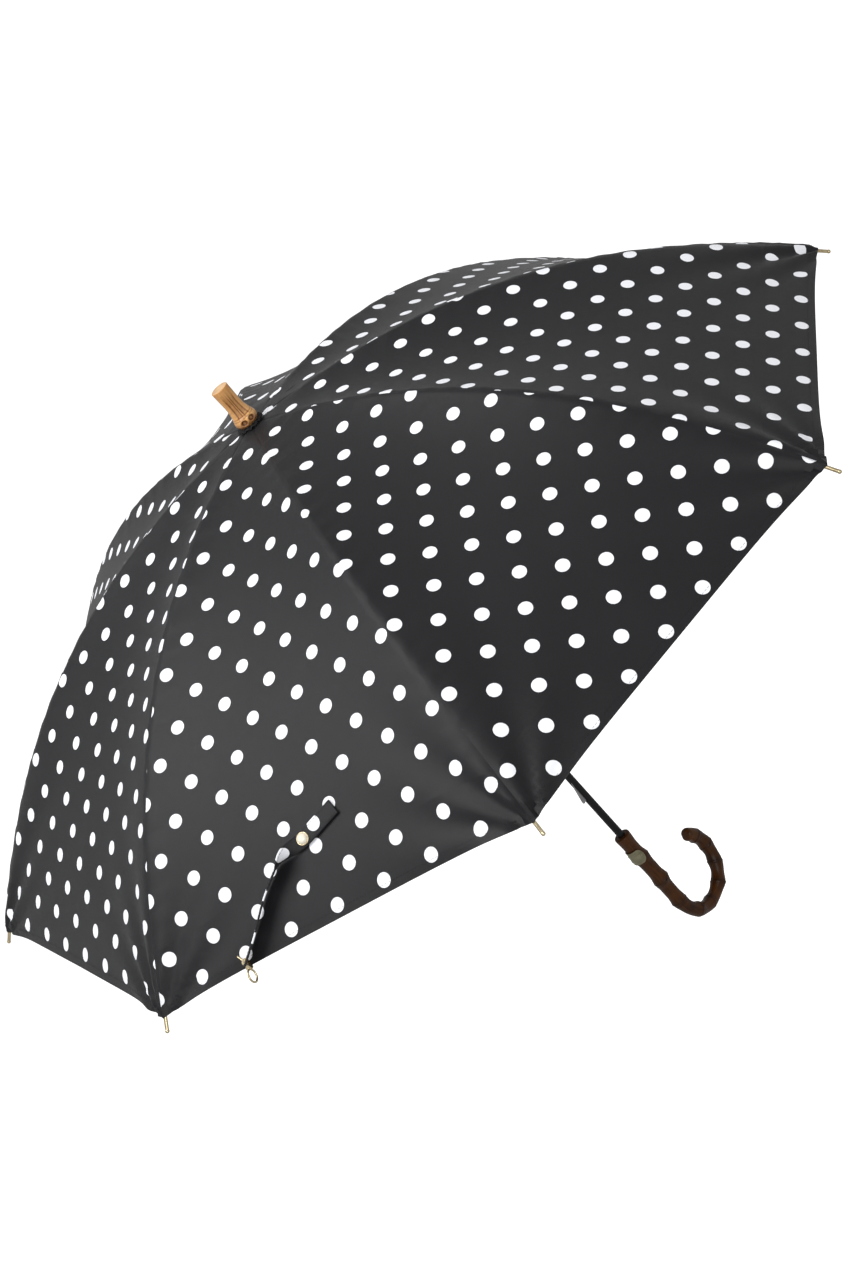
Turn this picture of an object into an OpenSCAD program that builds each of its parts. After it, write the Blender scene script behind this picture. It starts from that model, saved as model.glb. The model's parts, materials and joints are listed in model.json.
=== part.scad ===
// Parasol with eight ribs, a fabric dome, a bamboo ferrule and a bamboo crook handle.
// Z runs up the shaft. The origin is on the shaft's axis, level with the crook's lowest point.
// Rib 1 points along +X and the ribs count anticlockwise, seen from above. Sizes are in mm.

/* [Dome] */
// Distance from the shaft's axis to the rib tips
tip_r = 450; // [400:5:500]
// Height that the dome drops from its crown to the rib tips
dome_h = 206.4; // [190:0.2:220]
// Height of the fabric at the crown
crown_z = 640; // [625:1:660]
// Depth that the fabric hangs in between two ribs
sag = 12; // [0:1:16]
// Share of the profile at which the fabric ends between two ribs
hem_mid = 0.9786; // [0.975:0.0002:0.982]
// Share of the profile at which the fabric ends on a rib
hem_rib = 0.986; // [0.984:0.0005:0.988]
// Thickness of the fabric
fabric_t = 0.5; // [0.4:0.05:0.6]

/* [Ribs and stretchers] */
// Width of a rib's steel channel
rib_w = 3.2; // [2.8:0.1:3.2]
// Height of a rib's steel channel
rib_h = 3.4; // [3.2:0.1:3.6]
// Depth of a rib's top face below the fabric's outer face
rib_gap = 1.3; // [1.2:0.05:1.5]
// Share of the profile at which the stretcher is riveted to the rib
joint_u = 0.4845; // [0.46:0.0005:0.5]
// Distance from the shaft's axis to the hinge wires
wire_r = 9; // [8.8:0.1:9.4]
// Width of a stretcher's steel channel
bar_w = 3; // [2.6:0.1:3.2]
// Angle that each rib turns through as the parasol closes
fold = 64.4; // [60:0.1:64.6]

/* [Shaft] */
// Diameter of the steel shaft
shaft_d = 7; // [6.8:0.1:7.2]
// Wall thickness of the shaft
shaft_wall = 0.8; // [0.6:0.1:0.9]
// Length of the runner's sleeve below its hinge wire
sleeve_h = 40; // [38:1:44]
// How far each spring's nose stands out from the shaft
nose = 4; // [3.4:0.1:4.2]

/* [Handle] */
// Height of the handle's top face
handle_top = 131; // [126:1:136]
// Radius of the crook's centre line
hook_r = 34; // [32:0.5:36]
// Angle that the crook bends through
hook_turn = 230; // [225:1:245]
// Radius of the cane in the crook, between its nodes
cane_r = 6.4; // [6:0.1:6.6]

/* [Ferrule] */
// Radius of the ferrule's sawn end
end_r = 7.8; // [7.4:0.1:8.2]
// Height of the ferrule above the crown of the fabric
ferrule_h = 40.7; // [38:0.1:44]

/* [Strap] */
// Width of the closure strap
strap_w = 14; // [12:0.5:15]
// How far the strap's end lies across the gore from its hook
strap_across = 112; // [100:1:120]
// How far the strap's end lies up the gore from its hook
strap_up = 74; // [65:1:85]
// Radius of the pearl button
button_r = 5.5; // [5:0.1:6]

/* [Hidden] */
$fn = 48;

ribs = 8;
pitch = 360 / ribs;
half = pitch / 2;
shaft_r = shaft_d / 2;
fit = 0.05;             // gap of a pin in its hole
black = [0.06, 0.06, 0.07];
gold = [0.78, 0.7, 0.52];

// ---- The dome's profile, as a share u from the crown to the tip ----
function prof_r(u) = tip_r * (0.03 + 0.97 * u);
function prof_z(u) = crown_z - dome_h * (0.0822 * u + 0.5612 * u * u + 0.3566 * u * u * u);
function slope(u) = -atan2(dome_h * (0.0822 + 1.1224 * u + 1.0698 * u * u), 0.97 * tip_r);
// A point of the profile, moved in by d along the inward normal
function prof(u, d = 0) = [prof_r(u) + d * sin(slope(u)), prof_z(u) - d * cos(slope(u))];
function steps(a, b, n) = [for (k = [0:n]) a + (b - a) * k / n];
function reversed(list) = [for (k = [len(list) - 1:-1:0]) list[k]];

// ---- The linkage: two equal arms, so that the runner stays on the shaft ----
rib_mid = rib_gap + rib_h / 2;
hinge = [wire_r, crown_z - rib_mid];
joint = prof(joint_u, rib_mid + 0.3);
arm = norm(joint - hinge);
arm_angle = atan2(joint[1] - hinge[1], joint[0] - hinge[0]);
runner_z = 2 * joint[1] - hinge[1];
closed_z = hinge[1] - 2 * arm * sin(fold - arm_angle);
wire_d = 1.1;
eye_r = 1.7;
blade_w = 1.8;          // a rib's or a stretcher's flat end, which sits in a slot
slot_w = 2.2;
flange_r = 11.5;
channel_end = 0.955;    // where the rib's channel stops and its rod goes on
tip_len = 28.9;         // from the channel's end to the centre of the tip's ball

// ---- Springs ----
spring_t = 1.6;
pin_r = 0.6;
root_d = 1;             // how far a spring's root pin is from the shaft's axis
top_root_z = runner_z - sleeve_h - 30;
bottom_root_z = closed_z + 0.2;

// Turns a flat outline, drawn in radius and height, upright at an angle about the shaft
module upright(angle, w) {
    rotate([0, 0, angle]) rotate([90, 0, 0]) linear_extrude(w, center = true) children();
}

// Places children at a radius and height, in the plane of a rib
module at(angle, p) {
    rotate([0, 0, angle]) translate([p[0], 0, p[1]]) children();
}

// A round bar across the plane of a rib
module cross_bar(angle, p, r, len) {
    at(angle, p) rotate([90, 0, 0]) cylinder(r = r, h = len, center = true);
}

// ---- Handle ----
hook_z = hook_r + cane_r;
grip_nodes = [102, 71, hook_z];
hook_nodes = [42, 78, 115, 148, 170];
function swell(z, at_z) = exp(-pow((z - at_z) / 4.5, 2));
function grip_r(z) = 6.75 + 1.25 * swell(z, grip_nodes[0]) + 1.5 * swell(z, grip_nodes[1])
    + 0.9 * swell(z, grip_nodes[2] + 1) + 1.2 * max(0, z - 112) / (handle_top - 112);

module handle() {
    socket = 36;
    end_r = cane_r + 0.02;
    zs = steps(hook_z, handle_top - 1.5, 40);
    outline = concat([[0, hook_z]], [for (z = zs) [grip_r(z), z]],
        [[grip_r(handle_top) - 1.4, handle_top], [0, handle_top]]);
    color([0.25, 0.12, 0.06]) difference() {
        union() {
            rotate_extrude() polygon(outline);
            translate([hook_r, 0, hook_z]) rotate([90, 0, 0]) {
                rotate([0, 0, 180]) rotate_extrude(angle = hook_turn)
                    translate([hook_r, 0]) circle(cane_r);
                for (a = hook_nodes) rotate([0, 0, 180 + a])
                    translate([hook_r, 0, 0]) sphere(cane_r + 0.7);
                rotate([0, 0, 180 + hook_turn]) translate([hook_r, 0, 0]) sphere(end_r);
            }
        }
        translate([0, 0, handle_top - socket]) cylinder(r = shaft_r, h = socket + 1);
        plate_sleeve(plate_in, 14, 0);
        plate_pin_shapes();
    }
}

// The name plate: a band wrapped round the cane, cut to a window with round ends
plate_z = 107;
plate_h = 15;
plate_in = 7.3;
plate_out = 8.3;
plate_wrap = 80;

module plate_sleeve(inner, outer, gap) {
    reach = plate_out * sin(plate_wrap) - plate_h / 2;
    intersection() {
        translate([0, 0, plate_z - plate_h]) difference() {
            cylinder(r = outer, h = 2 * plate_h);
            translate([0, 0, -1]) cylinder(r = inner, h = 2 * plate_h + 2);
        }
        translate([0, 0, plate_z]) rotate([0, -90, 0]) linear_extrude(20) {
            for (s = [-1, 1]) translate([0, s * reach]) circle(plate_h / 2 - gap);
            square([plate_h - 2 * gap, 2 * reach], center = true);
        }
    }
}

module plate_pin_shapes() {
    for (s = [-1, 1]) rotate([0, 0, s * 60]) translate([-plate_out - 0.4, 0, plate_z])
        rotate([0, 90, 0]) cylinder(r = 0.8, h = 3);
}

module name_plate() {
    color([0.6, 0.58, 0.44]) difference() {
        plate_sleeve(plate_in, plate_out, 0.1);
        plate_pin_shapes();
    }
}

module plate_pins() {
    color([0.5, 0.47, 0.35]) plate_pin_shapes();
}

// ---- Shaft and what is pinned to it ----
shaft_top = crown_z + 26;
shaft_foot = handle_top - 36;
crown_pin_z = hinge[1] - 8.5;
stop_pin_z = runner_z + 3.2 + 1.2;
slot_low = 7;           // a spring's slot, measured from its root pin
slot_high = 32;

module pin_through(z, r, len) {
    translate([0, 0, z]) rotate([90, 0, 0]) cylinder(r = r, h = len, center = true);
}

module shaft() {
    color(black) difference() {
        translate([0, 0, shaft_foot]) cylinder(r = shaft_r, h = shaft_top - shaft_foot);
        translate([0, 0, shaft_foot - 1])
            cylinder(r = shaft_r - shaft_wall, h = shaft_top - shaft_foot + 2);
        for (z = [top_root_z + slot_low, bottom_root_z - slot_high])
            translate([-shaft_r - 1, -spring_t / 2 - 0.3, z])
                cube([shaft_r, spring_t + 0.6, slot_high - slot_low]);
        pin_through(crown_pin_z, 0.8, 20);
        pin_through(stop_pin_z, 0.75, 20);
        spring_pin_shapes();
    }
}

module spring_pin_shapes(r = pin_r) {
    for (z = [top_root_z, bottom_root_z]) translate([-root_d, 0, z])
        rotate([90, 0, 0]) cylinder(r = r, h = shaft_d - 0.8, center = true);
}

module crown_pin() {
    color("gray") pin_through(crown_pin_z, 0.8, 11.4);
}

module stop_pin() {
    color("gray") pin_through(stop_pin_z, 0.75, 10.4);
}

module spring_pins() {
    color("gray") spring_pin_shapes();
}

// A spring's blade lies along the shaft, out from its root pin. Its nose has a square shoulder
// at the far end and a long slope behind it.
module spring(root_z, turned) {
    out = shaft_r + nose - root_d;
    blade = [[-0.9, 0.2], [-0.6, 20], [-0.6, 31], [0.6, 31], [1.8, 29.8], [out, 29.8],
        [out, 27.5], [1.4, 7], [0.9, 0.2]];
    color([0.45, 0.45, 0.46]) translate([-root_d, 0, root_z]) mirror([0, 0, turned])
        rotate([90, 0, 180]) difference() {
            union() {
                linear_extrude(spring_t, center = true) polygon(blade);
                cylinder(r = 1.3, h = spring_t, center = true);
            }
            cylinder(r = pin_r + fit, h = 2 * spring_t, center = true);
        }
}

module top_spring() {
    spring(top_root_z, 0);
}

module bottom_spring() {
    spring(bottom_root_z, 1);
}

// ---- Crown and runner: slotted wheels with a wire that all the eyes hang on ----
module wheel(z, low, high) {
    difference() {
        translate([0, 0, z - low]) cylinder(r = flange_r, h = low + high);
        for (k = [0:ribs - 1]) rotate([0, 0, k * pitch])
            translate([shaft_r + 2.8, -slot_w / 2, z - 2.1])
                cube([flange_r, slot_w, 20]);
        translate([0, 0, z - wire_d / 2 - 0.15]) difference() {
            cylinder(r = flange_r + 1, h = wire_d + 0.3);
            cylinder(r = wire_r - wire_d / 2 - 0.1, h = wire_d + 0.3);
        }
    }
}

module wheel_wire(z, r = wire_d / 2) {
    side = wire_r * tan(half);
    color("silver") for (k = [0:ribs - 1]) {
        cross_bar(k * pitch, [wire_r, z], r, 2 * side);
        at(k * pitch + half, [wire_r / cos(half), z]) sphere(1.15 * r);
    }
}

module crown() {
    color(black) difference() {
        union() {
            translate([0, 0, hinge[1]]) mirror([0, 0, 1]) wheel(0, 2.3, 3.2);
            translate([0, 0, hinge[1] - 12]) cylinder(r = 5.5, h = 10);
        }
        translate([0, 0, hinge[1] - 20]) cylinder(r = shaft_r, h = 40);
        pin_through(crown_pin_z, 0.8, 20);
    }
}

module crown_wire() {
    wheel_wire(hinge[1]);
}

module runner() {
    color(black) difference() {
        union() {
            wheel(runner_z, 4.2, 3.2);
            translate([0, 0, runner_z - sleeve_h]) cylinder(r = 5.4, h = sleeve_h);
            translate([0, 0, runner_z - sleeve_h]) cylinder(r = 6.6, h = 4);
        }
        translate([0, 0, runner_z - sleeve_h - 1]) cylinder(r = shaft_r + 0.2, h = sleeve_h + 20);
        translate([-10, -spring_t / 2 - 0.5, runner_z - 30.6])
            cube([10, spring_t + 1, 26]);
    }
}

module runner_wire() {
    wheel_wire(runner_z);
}

// ---- Ribs ----
module rib(i) {
    a = (i - 1) * pitch;
    us = steps(prof_u(wire_r + 5.5), channel_end, 26);
    inner = steps(prof_u(wire_r + 9), channel_end - 0.004, 26);
    blade = steps(prof_u(wire_r), prof_u(wire_r + 13), 3);
    color(black) difference() {
        union() {
            difference() {
                upright(a, rib_w) polygon(band(us, rib_gap, rib_gap + rib_h));
                upright(a, rib_w - 1.2) polygon(band(inner, rib_gap + 0.8, rib_gap + rib_h + 1));
            }
            upright(a, blade_w) {
                translate(hinge) circle(eye_r);
                polygon(band(blade, rib_mid - 1.4, rib_mid + 1.4));
            }
            at(a, prof(channel_end, rib_mid)) rotate([0, 90 - slope(channel_end), 0])
                translate([0, 0, -5]) cylinder(r = 1, h = 25);
        }
        cross_bar(a, hinge, wire_d / 2 + fit, 10);
        cross_bar(a, joint, rivet_r + fit, 10);
    }
}

function prof_u(r) = (r / tip_r - 0.03) / 0.97;
function band(us, outer, inner) = concat([for (u = us) prof(u, outer)],
    [for (u = reversed(us)) prof(u, inner)]);

// The metal cap on a rib's end: a short sleeve over the rod, and a ball
module rib_tip(i) {
    color(gold) at((i - 1) * pitch, prof(channel_end, rib_mid))
        rotate([0, 90 - slope(channel_end), 0]) difference() {
            union() {
                translate([0, 0, 8]) cylinder(r = 1.5, h = tip_len - 8);
                translate([0, 0, tip_len]) sphere(1.7);
                translate([0, 0, 15.5]) cylinder(r = 2, h = 1.2);
            }
            cylinder(r = 1, h = 20);
        }
}

// ---- Stretchers: a channel with a fork that straddles the rib ----
rivet_r = 0.7;
fork_gap = 3.5;
fork_w = 4.9;
fork_len = 19;

module stretcher_plane(i, w) {
    upright((i - 1) * pitch, w) translate(joint) rotate(180 - arm_angle) children();
}

module stretcher(i) {
    a = (i - 1) * pitch;
    color(black) difference() {
        union() {
            difference() {
                stretcher_plane(i, fork_w) {
                    circle(2);
                    translate([0, -1.6]) square([fork_len, 3.2]);
                }
                stretcher_plane(i, fork_gap) translate([-5, -5]) square([fork_len - 4.5 + 5, 10]);
            }
            difference() {
                stretcher_plane(i, bar_w) translate([fork_len - 3, -1.6])
                    square([arm - fork_len - 5, 3.2]);
                stretcher_plane(i, bar_w - 1.2) translate([fork_len, -2.6])
                    square([arm - fork_len - 12, 3.4]);
            }
            stretcher_plane(i, blade_w) {
                translate([arm - 14, -1.4]) square([14, 2.8]);
                translate([arm, 0]) circle(eye_r);
            }
        }
        cross_bar(a, joint, rivet_r, 10);
        cross_bar(a, [wire_r, runner_z], wire_d / 2 + fit, 10);
    }
}

module rivet(i) {
    color("silver") cross_bar((i - 1) * pitch, joint, rivet_r, fork_w + 0.4);
}

// ---- Canopy: eight sheets, each from the middle of one gore to the middle of the next ----
// A sheet's grid runs along the rib and across it, and the edges between gores are straight lines.
rows = 18;
columns = [-1, -0.75, -0.5, -0.25, -0.06, 0, 0.06, 0.25, 0.5, 0.75, 1];
crown_u = -0.019;
seam_gap = 0.15;

function hem_u(s) = hem_mid + (hem_rib - hem_mid) * pow(1 - abs(s), 4);
// How deep the fabric hangs in between the ribs, s being 0 on a rib and 1 in mid gore
function dip(u, s) = let (t = max(0, abs(s) - 0.06) / 0.94)
    sag * sin(180 * min(max(u - 0.05, 0) / 0.95, 1)) * t * (2 - t);
function sheet_point(share, s, depth) =
    let (u = crown_u + (hem_u(s) - crown_u) * share, p = prof(u, depth))
    let (y = s * (p[0] * sin(half) * cos(half) - seam_gap))
    [p[0] - abs(y) * tan(half), y, p[1] - dip(u, s) / cos(gore_slope(u))];

module canopy(i) {
    n = len(columns);
    side = (rows + 1) * n;
    points = [for (depth = [0, fabric_t], k = [0:rows], s = columns) sheet_point(k / rows, s, depth)];
    faces = [for (k = [0:rows - 1], c = [0:n - 2]) for (f = cell(k * n + c, n, side)) f];
    rim = concat([for (c = [0:n - 1]) c], [for (k = [1:rows]) k * n + n - 1],
        [for (c = [n - 2:-1:0]) rows * n + c], [for (k = [rows - 1:-1:1]) k * n]);
    walls = [for (k = [0:len(rim) - 1])
        let (a = rim[k], b = rim[(k + 1) % len(rim)]) [b, a, a + side, b + side]];
    color([0.12, 0.12, 0.13]) rotate([0, 0, (i - 1) * pitch])
        polyhedron(points, concat(faces, walls), convexity = 6);
}

// The outer and the inner triangles of one grid cell, split alike on both halves of the sheet
function cell(c, n, side) = let (d = c + n)
    [[c, c + 1, d], [c + 1, d + 1, d], [side + c, side + d, side + c + 1],
     [side + c + 1, side + d, side + d + 1]];

// ---- Ferrule and rosette on top ----
module rosette() {
    waves = 26;
    outline = [for (k = [0:5 * waves - 1]) let (a = k * 360 / (5 * waves))
        (12.6 + 1.1 * sin(a * waves)) * [cos(a), sin(a)]];
    color(black) translate([0, 0, crown_z + 0.6]) difference() {
        linear_extrude(2.6) polygon(outline);
        translate([0, 0, -1]) cylinder(r = shaft_r + 0.1, h = 5);
    }
}

module ferrule() {
    z0 = crown_z + 3.4;
    z1 = crown_z + ferrule_h;
    outline = [[0, z0], [8.6, z0], [9.9, z0 + 2.5], [10.3, z0 + 6], [9.6, z0 + 9.5], [8.2, z0 + 12.5],
        [7.4, z0 + 17], [7.3, z0 + 21], [end_r, z1 - 12], [end_r, z1], [0, z1]];
    color([0.8, 0.6, 0.35]) difference() {
        rotate_extrude() polygon(outline);
        translate([0, 0, z0 - 1]) cylinder(r = shaft_r, h = shaft_top - z0 + 1);
    }
}

// ---- Closure strap, in the gore between ribs 5 and 6 ----
// It is hooked to the hem near rib 5, and lies slantwise up the gore.
strap_angle = 4.5 * pitch;
hem_shift = -tip_r * hem_mid * sin(half) / 2;
strap_turn = -atan2(strap_across, strap_up);
bar_u = hem_u(0.5) - 0.006;
bar_lift = 2.8;         // the strap's bar above the fabric
bar_r = 0.8;
post_r = 1;             // the swivel's post
strap_t = 1.2;
loop_r = 1.7;

// Slope of a gore along its middle, which is steeper than the rib's
function gore_slope(u) = atan(tan(slope(u)) / cos(half));
function gore(u, lift) = [prof_r(u) * cos(half) - lift * sin(gore_slope(u)),
    prof_z(u) + lift * cos(gore_slope(u))];
// Length along the gore for each unit of u
function gore_rate(u) = norm(gore(u + 0.001, 0) - gore(u - 0.001, 0)) / 0.002;
// A point beside the strap's centre line: a share of its length, a shift across it and a height
function strap_point(share, shift, lift) =
    let (u0 = bar_u - share * strap_up / gore_rate(bar_u))
    let (u = u0 + shift * sin(-strap_turn) / gore_rate(u0))
    let (y = hem_shift + share * strap_across + shift * cos(strap_turn))
    let (p = gore(u, lift - dip(u, 1 - abs(y) / (prof_r(u) * sin(half)))))
    [p[0], y, p[1]];
function strap_lift(share) = bar_lift + 3.5 * share * (1 - share) + 0.6 * share;

module at_strap(share, lift, turn = strap_turn) {
    p = strap_point(share, 0, lift);
    u = bar_u - share * strap_up / gore_rate(bar_u);
    rotate([0, 0, strap_angle]) translate(p)
        rotate([0, -gore_slope(u), 0]) rotate([0, 0, turn]) children();
}

// A round bar across the strap, on its hinge line
module hinge_bar(r, len) {
    at_strap(0, bar_lift) rotate([90, 0, 0]) cylinder(r = r, h = len, center = true);
}

// A fitting over the hem, with a ring below it and a headed post above it
module strap_clip() {
    hem = 0.006 * gore_rate(bar_u) + 0.7;
    web = 0.6;
    under = fabric_t + 1.2;
    ring_r = 5;
    color(gold) {
        at_strap(0, 0, 0) {
            for (low = [0.45, -under]) translate([-3, -2.5, low]) cube([hem + 4, 5, web]);
            translate([hem + 0.4, -2.5, -under]) cube([web, 5, under + 1.05]);
            translate([hem + ring_r + 1.4, 0, 0]) rotate([90, 0, 0])
                rotate_extrude() translate([ring_r, 0]) circle(0.8, $fn = 24);
        }
        at_strap(0, 0.5) cylinder(r = post_r, h = bar_lift + bar_r);
        at_strap(0, bar_lift + bar_r + 0.1) cylinder(r = 1.7, h = 0.6);
    }
}

// A hub that turns on the clip's post, with the bar that the strap's loops hang on
module strap_swivel() {
    color(gold) difference() {
        union() {
            at_strap(0, bar_lift - bar_r) cylinder(r = 2.4, h = 2 * bar_r);
            hinge_bar(bar_r, strap_w + 1);
        }
        at_strap(0, 0) cylinder(r = post_r + fit, h = 2 * bar_lift);
    }
}

module strap() {
    n = 16;
    start = 0.004;
    edges = [[-strap_w / 2, -strap_t / 2], [strap_w / 2, -strap_t / 2],
        [strap_w / 2, strap_t / 2], [-strap_w / 2, strap_t / 2]];
    points = [for (k = steps(start, 1, n), e = edges) strap_point(k, e[0], strap_lift(k) + e[1])];
    sides = [for (k = [0:n - 1], j = [0:3]) let (a = 4 * k + j, b = 4 * k + (j + 1) % 4)
        [a, b, b + 4, a + 4]];
    ends = [[3, 2, 1, 0], [4 * n, 4 * n + 1, 4 * n + 2, 4 * n + 3]];
    color([0.1, 0.1, 0.11]) difference() {
        union() {
            rotate([0, 0, strap_angle]) polyhedron(points, concat(sides, ends), convexity = 4);
            hinge_bar(loop_r, strap_w);
        }
        hinge_bar(bar_r + fit, strap_w + 2);
        at_strap(0, bar_lift) translate([-3, -2.9, -5]) cube([9, 5.8, 9]);
    }
}

button_share = 0.76;
snap_share = 0.93;

module strap_button() {
    color([0.93, 0.88, 0.78])
        at_strap(button_share, strap_lift(button_share) + strap_t / 2 + 0.45) intersection() {
            translate([0, 0, 1.2 - button_r]) sphere(button_r * 1.15);
            cylinder(r = button_r, h = 4);
        }
}

module strap_snap() {
    color("silver") at_strap(snap_share, strap_lift(snap_share) - strap_t / 2 - 1.6)
        cylinder(r = 3.6, h = 1.1);
}

shaft();
handle();
name_plate();
plate_pins();
ferrule();
rosette();
crown();
crown_wire();
crown_pin();
stop_pin();
spring_pins();
top_spring();
bottom_spring();
runner();
runner_wire();
for (i = [1:ribs]) rib(i);
for (i = [1:ribs]) rib_tip(i);
for (i = [1:ribs]) stretcher(i);
for (i = [1:ribs]) rivet(i);
for (i = [1:ribs]) canopy(i);
strap();
strap_button();
strap_snap();
strap_clip();
strap_swivel();
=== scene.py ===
# %% [markdown]
# # A dotted parasol with a cane handle
# The steel frame, runner, wires and pins come ready made from the CAD model, at their true places.
# This script adds what a frame alone can't show: eight gores of dotted cloth, the cane handle and
# ferrule with their knots, the metal trim and every surface finish.

# %% Load the frame
import json
import math

import bmesh
import bpy
import numpy as np
from mathutils import Matrix, Vector


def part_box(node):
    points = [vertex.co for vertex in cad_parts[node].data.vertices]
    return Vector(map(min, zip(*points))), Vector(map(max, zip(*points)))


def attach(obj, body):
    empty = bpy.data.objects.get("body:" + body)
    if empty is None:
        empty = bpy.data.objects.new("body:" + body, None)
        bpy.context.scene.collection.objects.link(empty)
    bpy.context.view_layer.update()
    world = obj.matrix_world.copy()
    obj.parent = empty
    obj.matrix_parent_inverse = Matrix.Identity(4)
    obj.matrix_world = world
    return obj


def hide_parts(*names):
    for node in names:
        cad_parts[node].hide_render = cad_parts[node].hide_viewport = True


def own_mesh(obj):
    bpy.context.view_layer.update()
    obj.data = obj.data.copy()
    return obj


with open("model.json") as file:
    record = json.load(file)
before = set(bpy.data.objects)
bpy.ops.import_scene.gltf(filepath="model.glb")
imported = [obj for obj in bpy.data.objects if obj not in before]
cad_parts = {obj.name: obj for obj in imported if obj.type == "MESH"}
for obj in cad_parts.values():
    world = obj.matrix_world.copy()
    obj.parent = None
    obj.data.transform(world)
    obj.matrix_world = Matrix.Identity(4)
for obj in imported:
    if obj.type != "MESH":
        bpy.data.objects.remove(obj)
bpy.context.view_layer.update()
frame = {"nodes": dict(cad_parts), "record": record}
MM = 0.001
joints = {joint["name"]: joint for joint in frame["record"]["behaviour"]["joints"]}

# %% [markdown]
# ## Sizes that everything hangs on
# The dome's section is one curve, given as a share `u` from the crown to a rib tip. The CAD ribs
# follow the same curve, so cloth laid on it meets them. The crown's height comes from the rosette's
# own box in the frame.

# %% The dome's curve
RIBS = 8
PITCH = 2 * math.pi / RIBS
HALF = PITCH / 2
TIP_R = 450 * MM
DOME_H = 206.4 * MM
CROWN_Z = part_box("rosette")[0][2] - 0.6 * MM
HEM_MID = 0.9786
HEM_RIB = 0.986
CROWN_U = -0.019
CLOTH_T = 0.45 * MM


def profile_r(u):
    return TIP_R * (0.03 + 0.97 * u)


def profile_z(u):
    return CROWN_Z - DOME_H * (0.0822 * u + 0.5612 * u**2 + 0.3566 * u**3)


def fall(u):
    """How steeply a rib falls at u, as an angle below level."""
    return np.arctan(DOME_H * (0.0822 + 1.1224 * u + 1.0698 * u**2) / (0.97 * TIP_R))


def gore_fall(u):
    """The same for the middle of a gore, which is steeper."""
    return np.arctan(np.tan(fall(u)) / math.cos(HALF))


def hem_u(share):
    """Where the cloth ends, from a rib (share 0) to the middle of the gore (share 1)."""
    return HEM_MID + (HEM_RIB - HEM_MID) * (1 - share) ** 4


def spoke(angle):
    """Unit vectors out along a spoke, and square to it, both level."""
    out = np.array([math.cos(angle), math.sin(angle), 0.0])
    return out, np.array([-math.sin(angle), math.cos(angle), 0.0])


UP = np.array([0.0, 0.0, 1.0])
arc_u = np.linspace(CROWN_U, 1.0, 1200)
arc_step = np.hypot(np.diff(profile_r(arc_u)) * math.cos(HALF), np.diff(profile_z(arc_u)))
arc_len = np.concatenate([[0.0], np.cumsum(arc_step)])
print("cloth from crown to tip along a gore:", round(float(arc_len[-1]), 3), "m")

# %% [markdown]
# ## Mesh helpers
# Most pieces here are a grid of points pulled into shape, so one helper turns a grid into a mesh.
# Others start as a short outline or a stock shape. Each finished piece stays at the origin, with its
# place in its mesh, just like a CAD node.

# %% Helpers for meshes


def grid_faces(rows, columns, closed=False):
    """Quads between the rows of a grid. closed joins the last column to the first."""
    across = columns if closed else columns - 1
    faces = []
    for i in range(rows - 1):
        for j in range(across):
            k = (j + 1) % columns
            faces.append((i * columns + j, (i + 1) * columns + j, (i + 1) * columns + k, i * columns + k))
    return faces


def make_piece(name, points, faces, material, smooth=True):
    mesh = bpy.data.meshes.new(name)
    mesh.from_pydata([tuple(map(float, p)) for p in np.asarray(points).reshape(-1, 3)], [], faces)
    mesh.materials.append(material)
    mesh.polygons.foreach_set("use_smooth", [smooth] * len(mesh.polygons))
    piece = bpy.data.objects.new(name, mesh)
    bpy.context.scene.collection.objects.link(piece)
    return piece


def make_tube(name, rings, material):
    """A closed piece from rings of points, with a face on each end."""
    rows, columns = rings.shape[:2]
    faces = grid_faces(rows, columns, closed=True)
    faces += [tuple(range(columns)), tuple((rows - 1) * columns + k for k in range(columns))]
    return make_piece(name, rings, faces, material)


def set_uv(piece, per_point):
    """Gives a piece a UV map from one pair of numbers for each point."""
    layer = piece.data.uv_layers.new(name="Cloth")
    index = np.empty(len(piece.data.loops), int)
    piece.data.loops.foreach_get("vertex_index", index)
    layer.data.foreach_set("uv", np.asarray(per_point, float).reshape(-1, 2)[index].ravel())


def set_attribute(piece, name, values):
    layer = piece.data.attributes.new(name, "FLOAT", "POINT")
    layer.data.foreach_set("value", np.asarray(values, float).ravel())


def apply_modifiers(piece):
    """Replaces a piece's mesh by what its modifiers make of it."""
    bpy.context.view_layer.update()
    graph = bpy.context.evaluated_depsgraph_get()
    mesh = bpy.data.meshes.new_from_object(piece.evaluated_get(graph), depsgraph=graph)
    piece.modifiers.clear()
    piece.data = mesh
    return piece


def recalculate_normals(piece):
    mesh = bmesh.new()
    mesh.from_mesh(piece.data)
    bmesh.ops.remove_doubles(mesh, verts=mesh.verts, dist=1e-6)
    bmesh.ops.recalc_face_normals(mesh, faces=mesh.faces)
    mesh.to_mesh(piece.data)
    mesh.free()


# %% [markdown]
# ## Material helpers
# Every finish is a Principled shader fed by a few procedural nodes. A small class keeps that short:
# it makes nodes, links them and sets their sockets.

# %% Helpers for materials


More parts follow.
